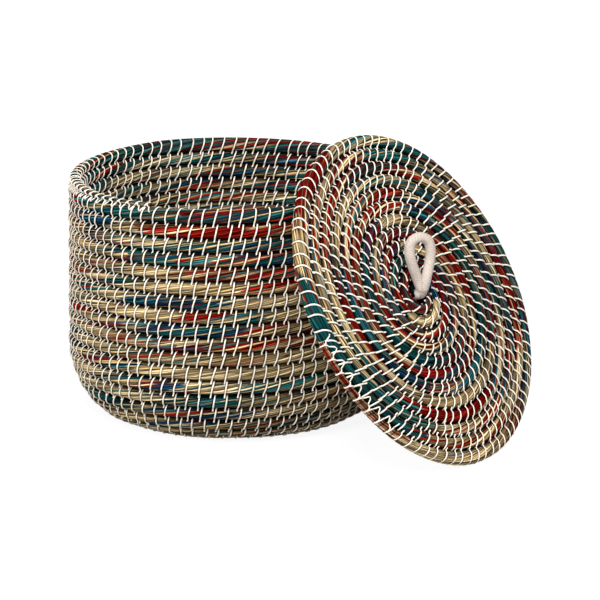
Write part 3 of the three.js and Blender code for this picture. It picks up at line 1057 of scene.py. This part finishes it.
# Where the basket's and the lid's stitches sit, in turns
jitter = np.random.default_rng(STITCH_PLACE_SEED)
base_stitches = basket.spaced(BASE_FIRST_TURN, foot_turn, BASE_STITCH)
upright_turn = foot_turn + FOOT_ROWS
foot_stitches = basket.spaced(foot_turn, upright_turn, WALL_STITCH)[1:]
upright_count = int((basket.turns - RIM_LASH_TURNS - upright_turn) * WALL_STITCHES_PER_TURN)
upright_stitches = upright_turn + (1 + np.arange(upright_count)) / WALL_STITCHES_PER_TURN
wall_stitches = np.concatenate([foot_stitches, upright_stitches])
wall_shift = jitter.uniform(-WALL_JITTER, WALL_JITTER, len(wall_stitches))
wall_stitches = wall_stitches + wall_shift / (TAU * WALL_JITTER_RADIUS)
rim_lashes = basket.spaced(basket.turns - RIM_LASH_TURNS, basket.turns, RIM_LASH_SPACING)[1:]
basket_stitches = np.concatenate([base_stitches, wall_stitches, rim_lashes])
lid_stitches = lid.spaced(LID_FIRST_TURN, lid.turns - LID_LASH_TURNS, LID_STITCH)
lid_shift = jitter.uniform(-LID_JITTER, LID_JITTER, len(lid_stitches))
lid_stitches = lid_stitches + lid_shift / (TAU * LID_JITTER_RADIUS)
lid_lashes = lid.spaced(lid.turns - LID_LASH_TURNS, lid.turns, LID_LASH_SPACING)[1:]
all_lid_stitches = np.concatenate([lid_stitches, lid_lashes])

# Basket: base coil, wall coil in two lengths, start button, stitches and the rim's lashing
split_turn = (foot_turn + basket.turns) / 2 + SPLIT_SHIFT
half_way = len(wall_stitches) // 2
base = coil_piece("base_grass", basket, START_GROWTH, foot_turn, basket_stitches, BASE_MESH,
                  BASE_SLANTS, basket_cover)
low_wall = coil_piece("wall_grass_low", basket, foot_turn, split_turn, basket_stitches, ROW_MESH,
                      WALL_SLANTS, basket_cover)
high_wall = coil_piece("wall_grass_high", basket, split_turn, basket.turns, basket_stitches, ROW_MESH,
                       WALL_SLANTS, basket_cover)
button = start_button()
base_sewing = sewn("base_sewing", basket, base_stitches, BASE_SLANTS,
                   WALL_THREAD_HALF_WIDTH, BASE_SEWING_SEED)
low_sewing = sewn("wall_sewing_low", basket, wall_stitches[:half_way], WALL_SLANTS,
                  WALL_THREAD_HALF_WIDTH, LOW_SEWING_SEED)
high_sewing = sewn("wall_sewing_high", basket, wall_stitches[half_way:], WALL_SLANTS,
                   WALL_THREAD_HALF_WIDTH, HIGH_SEWING_SEED)
rim_lashing = lashed("rim_lashing", basket, rim_lashes, RIM_LASH_SPACING, RIM_LASH_BITE, True)

# Lid: coil, stitches and the lashing of its end
lid_grass = coil_piece("lid_grass", lid, LID_START_GROWTH, lid.turns, all_lid_stitches, ROW_MESH,
                       LID_SLANTS, lid_cover)
lid_sewing = sewn("lid_sewing", lid, lid_stitches, LID_SLANTS, LID_THREAD_HALF_WIDTH, LID_SEWING_SEED)
lid_lashing = lashed("lid_lashing", lid, lid_lashes, LID_LASH_SPACING, LID_LASH_BITE, False)


# Evenly spaced points on a smooth line, and their distances along it
def even_path(control, count):
    fine = smooth_open(np.asarray(control, float), PATH_STEPS)
    at = distances(fine)
    wanted = np.linspace(0, at[-1], count)
    return np.stack([np.interp(wanted, at, fine[:, axis]) for axis in range(3)], -1), wanted


# Rope rings along a path, with the slanting ribs of a twisted surface
def rope_rings(path, length, radius, sides):
    tangent = np.gradient(path, axis=0)
    tangent /= np.linalg.norm(tangent, axis=1)[:, None]
    normal = np.array([1.0, 0.0, 0.0])
    frames = []
    for t in tangent:
        normal = normal - t * (normal @ t)
        normal = normal / np.linalg.norm(normal)
        frames.append(normal)
    normals = np.array(frames)
    sideways = np.cross(tangent, normals)
    angle = TAU * np.arange(sides) / sides
    ribs = np.sin(length[:, None] * ROPE_RIBS_ALONG + ROPE_RIBS_ROUND * angle[None, :])
    size = radius[:, None] * (1 + ROPE_RIB * ribs)
    ring = path[:, None, :] + (size * np.cos(angle))[..., None] * normals[:, None, :]
    return ring + (size * np.sin(angle))[..., None] * sideways[:, None, :]


# Radius of the rope along a length of it, rounded off at both ends
def round_ends(length):
    from_end = np.minimum(length - length[0], length[-1] - length)
    near = np.clip(from_end / ROPE_END_REACH, 0.02, 1)
    return (ROPE_RADIUS + ROPE_FUZZ) * np.sqrt(1 - (1 - near) ** 2)


# A length of rope from its rings
def rope_piece(name, rings, length, strips):
    return tube(name, rings, length, around=1, twist=0, strips=strips, dye=None, material=rope)


# Rope loop: the solid's line, with the legs pressed together and crossing near the root
def rope_loop():
    eye = LOOP_EYE_HALF_WIDTH
    shape = [
        (0.06 * eye, -0.09, 2.4),
        (0.12 * eye, 0, 2.4),
        (0.30 * eye, 0.12, 2.3),
        (0.46 * eye, 0.26, 1.7),
        (0.68 * eye, 0.40, 1.2),
        (0.90 * eye, 0.56, 1.0),
        (eye, 0.73, 1),
        (0.79 * eye, 0.92, 1),
    ]

    def place(side, half, rise, turned):
        turn = math.pi / 2 + (LOOP_TURN - math.pi / 2) * turned
        return [side * half * math.cos(turn) + LOOP_LEAN[0] * rise,
                side * half * math.sin(turn) + LOOP_LEAN[1] * rise, LOOP_HEIGHT * rise]

    up = [place(1, *row) for row in shape]
    down = [place(-1, *row) for row in shape[::-1]]
    path, length = even_path(up + [[*LOOP_LEAN, LOOP_HEIGHT]] + down, LOOP_RINGS)
    pivot = lean(np.array([-LOOP_UP_SLOPE, 0, LID_THICKNESS / 2 + ROPE_RADIUS + PIVOT_GAP]))
    rings = rope_rings(path, length, round_ends(length), LOOP_SIDES) + pivot
    return rope_piece("rope_loop", rings, length, strips=2)


# The rope's two legs, from the loop's root through the middle of the lid
def rope_legs():
    top = LID_THICKNESS / 2
    root = top + ROPE_RADIUS + PIVOT_GAP
    right_leg = [
        (-LOOP_UP_SLOPE - 2.6, 0.5, root + 1.5),
        (-LOOP_UP_SLOPE, 0.5, root),
        (-1.8, 1.2, top + 2.6),
        (-0.4, 2.2, top - 0.5),
        (0, 3.0, top - 4),
        (0, NECK_SPACING / 2, -top - 6),
    ]
    left_leg = [
        (-LOOP_UP_SLOPE - 2.6, 0.3, root + 1.5),
        (-LOOP_UP_SLOPE, 0.3, root),
        (-2.8, 0.4, top + 2.0),
        (-1.6, -0.4, top - 1.2),
        (-0.4, -2.6, top - 5),
        (0, -NECK_SPACING / 2, -top - 6),
    ]
    pieces = []
    for name, leg in (("rope_leg_right", right_leg), ("rope_leg_left", left_leg)):
        path, length = even_path(leg, LEG_RINGS)
        above = soft_step(path[:, 2], top - 6, top)
        radius = NECK_RADIUS + (ROPE_RADIUS + ROPE_FUZZ - NECK_RADIUS) * above
        rings = rope_rings(path, length, np.minimum(radius, round_ends(length)), LEG_SIDES)
        pieces.append(rope_piece(name, lean(rings), length, strips=1))
    return pieces


# The stopper knot under the lid, a trefoil
def rope_knot():
    t = np.linspace(0, TAU, KNOT_RINGS)
    r = KNOT_RADIUS + KNOT_SPREAD * np.cos(3 * t)
    path = np.stack([r * np.cos(2 * t), r * np.sin(2 * t), KNOT_SPREAD * np.sin(3 * t)], -1)
    path[:, 2] -= LID_THICKNESS / 2 + SEAT_GAP + KNOT_SPREAD + KNOT_ROPE_RADIUS
    length = distances(path)
    rings = rope_rings(path, length, np.full(KNOT_RINGS, KNOT_ROPE_RADIUS), KNOT_SIDES)
    return rope_piece("rope_knot", lean(rings), length, strips=4)


loop = rope_loop()
legs = rope_legs()
knot = rope_knot()

# What each piece rides on, and the solids hidden in their place
for piece in (base, button, low_wall, high_wall, base_sewing, low_sewing, high_sewing, rim_lashing):
    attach(piece, "basket")
for piece in (lid_grass, lid_sewing, lid_lashing, knot, *legs):
    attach(piece, "lid")
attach(loop, "handle")
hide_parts("base_coil")
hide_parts("wall_coil")
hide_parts("wall_coil")
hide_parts("lid_coil")
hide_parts("handle_loop")
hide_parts("handle_neck")
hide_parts("handle_knot")


# 1 for rays that see a surface directly, through glass or in a mirror
def seen_directly(tree):
    path = add_node(tree, "ShaderNodeLightPath")
    direct = maths(tree, "MAXIMUM", path.outputs["Is Camera Ray"], path.outputs["Is Transmission Ray"])
    return maths(tree, "MAXIMUM", direct, path.outputs["Is Glossy Ray"])


# White studio floor that keeps a faint shadow
def floor_material():
    material = bpy.data.materials.new("studio_floor")
    material.use_nodes = True
    tree = material.node_tree
    tree.nodes.clear()
    paint = add_node(tree, "ShaderNodeBsdfDiffuse", {"Color": FLOOR_GREY})
    place = add_node(tree, "ShaderNodeNewGeometry").outputs["Position"]
    away = add_node(tree, "ShaderNodeVectorMath", {0: place}, operation="LENGTH").outputs["Value"]
    level = mapped(tree, away, FLOOR_NEAR, FLOOR_FAR, FLOOR_GLOW_NEAR, FLOOR_GLOW_FAR)
    glow = add_node(tree, "ShaderNodeEmission", {"Color": WHITE, "Strength": level})
    seen = scaled(tree, seen_directly(tree), FLOOR_GLOW_SHARE)
    mix = add_node(tree, "ShaderNodeMixShader", {0: seen, 1: paint.outputs[0], 2: glow.outputs[0]})
    output = add_node(tree, "ShaderNodeOutputMaterial")
    tree.links.new(mix.outputs[0], output.inputs[0])
    return material


# Sky that is white to the camera and lights the object dimly
def studio_sky():
    world = bpy.data.worlds.new("studio")
    world.use_nodes = True
    tree = world.node_tree
    tree.nodes.clear()
    dim = add_node(tree, "ShaderNodeBackground", {"Color": WHITE, "Strength": SKY_LEVEL})
    white = add_node(tree, "ShaderNodeBackground", {"Color": WHITE, "Strength": 1.0})
    inputs = {0: seen_directly(tree), 1: dim.outputs[0], 2: white.outputs[0]}
    mix = add_node(tree, "ShaderNodeMixShader", inputs)
    output = add_node(tree, "ShaderNodeOutputWorld")
    tree.links.new(mix.outputs[0], output.inputs[0])
    return world


# Square lamp at an azimuth and elevation in degrees, aimed at the middle of the object
def studio_lamp(name, azimuth, elevation, size, power):
    a = math.radians(azimuth)
    e = math.radians(elevation)
    away = Vector((math.cos(a) * math.cos(e), math.sin(a) * math.cos(e), math.sin(e)))
    light = bpy.data.lights.new(name, "AREA")
    light.shape = "SQUARE"
    light.size = size
    light.energy = power
    lamp = bpy.data.objects.new(name, light)
    lamp.location = LAMP_TARGET + away * LAMP_DISTANCE
    lamp.rotation_euler = (-away).to_track_quat("-Z", "Y").to_euler()
    bpy.context.scene.collection.objects.link(lamp)


# Camera at the photograph's viewing angle
def photo_camera():
    turn = Matrix.Rotation(CAMERA_TURN, 3, "Z")
    eye = turn @ Vector((0, -CAMERA_DISTANCE, CAMERA_HEIGHT)) * MM
    level = math.cos(CAMERA_PITCH)
    ahead = Vector((math.sin(CAMERA_YAW) * level, math.cos(CAMERA_YAW) * level, -math.sin(CAMERA_PITCH)))
    ahead = turn @ ahead
    rightwards = turn @ Vector((math.cos(CAMERA_YAW), -math.sin(CAMERA_YAW), 0))
    upwards = rightwards.cross(ahead)
    data = bpy.data.cameras.new("camera")
    data.sensor_width = SENSOR_WIDTH
    data.lens = SENSOR_WIDTH * FOCAL_PIXELS / PICTURE_PIXELS
    data.clip_end = FARTHEST_SEEN
    camera = bpy.data.objects.new("camera", data)
    rotation = Matrix((rightwards, upwards, -ahead)).transposed()
    camera.matrix_world = Matrix.Translation(eye) @ rotation.to_4x4()
    bpy.context.scene.collection.objects.link(camera)
    return camera


bpy.ops.mesh.primitive_plane_add(size=FLOOR_SIZE, location=(0, 0, 0))
floor = bpy.context.object
floor.name = "studio_floor"
floor.data.materials.append(floor_material())

for lamp in LAMPS:
    studio_lamp(*lamp)
scene = bpy.context.scene
scene.world = studio_sky()
scene.camera = photo_camera()
scene.view_settings.view_transform = "Standard"
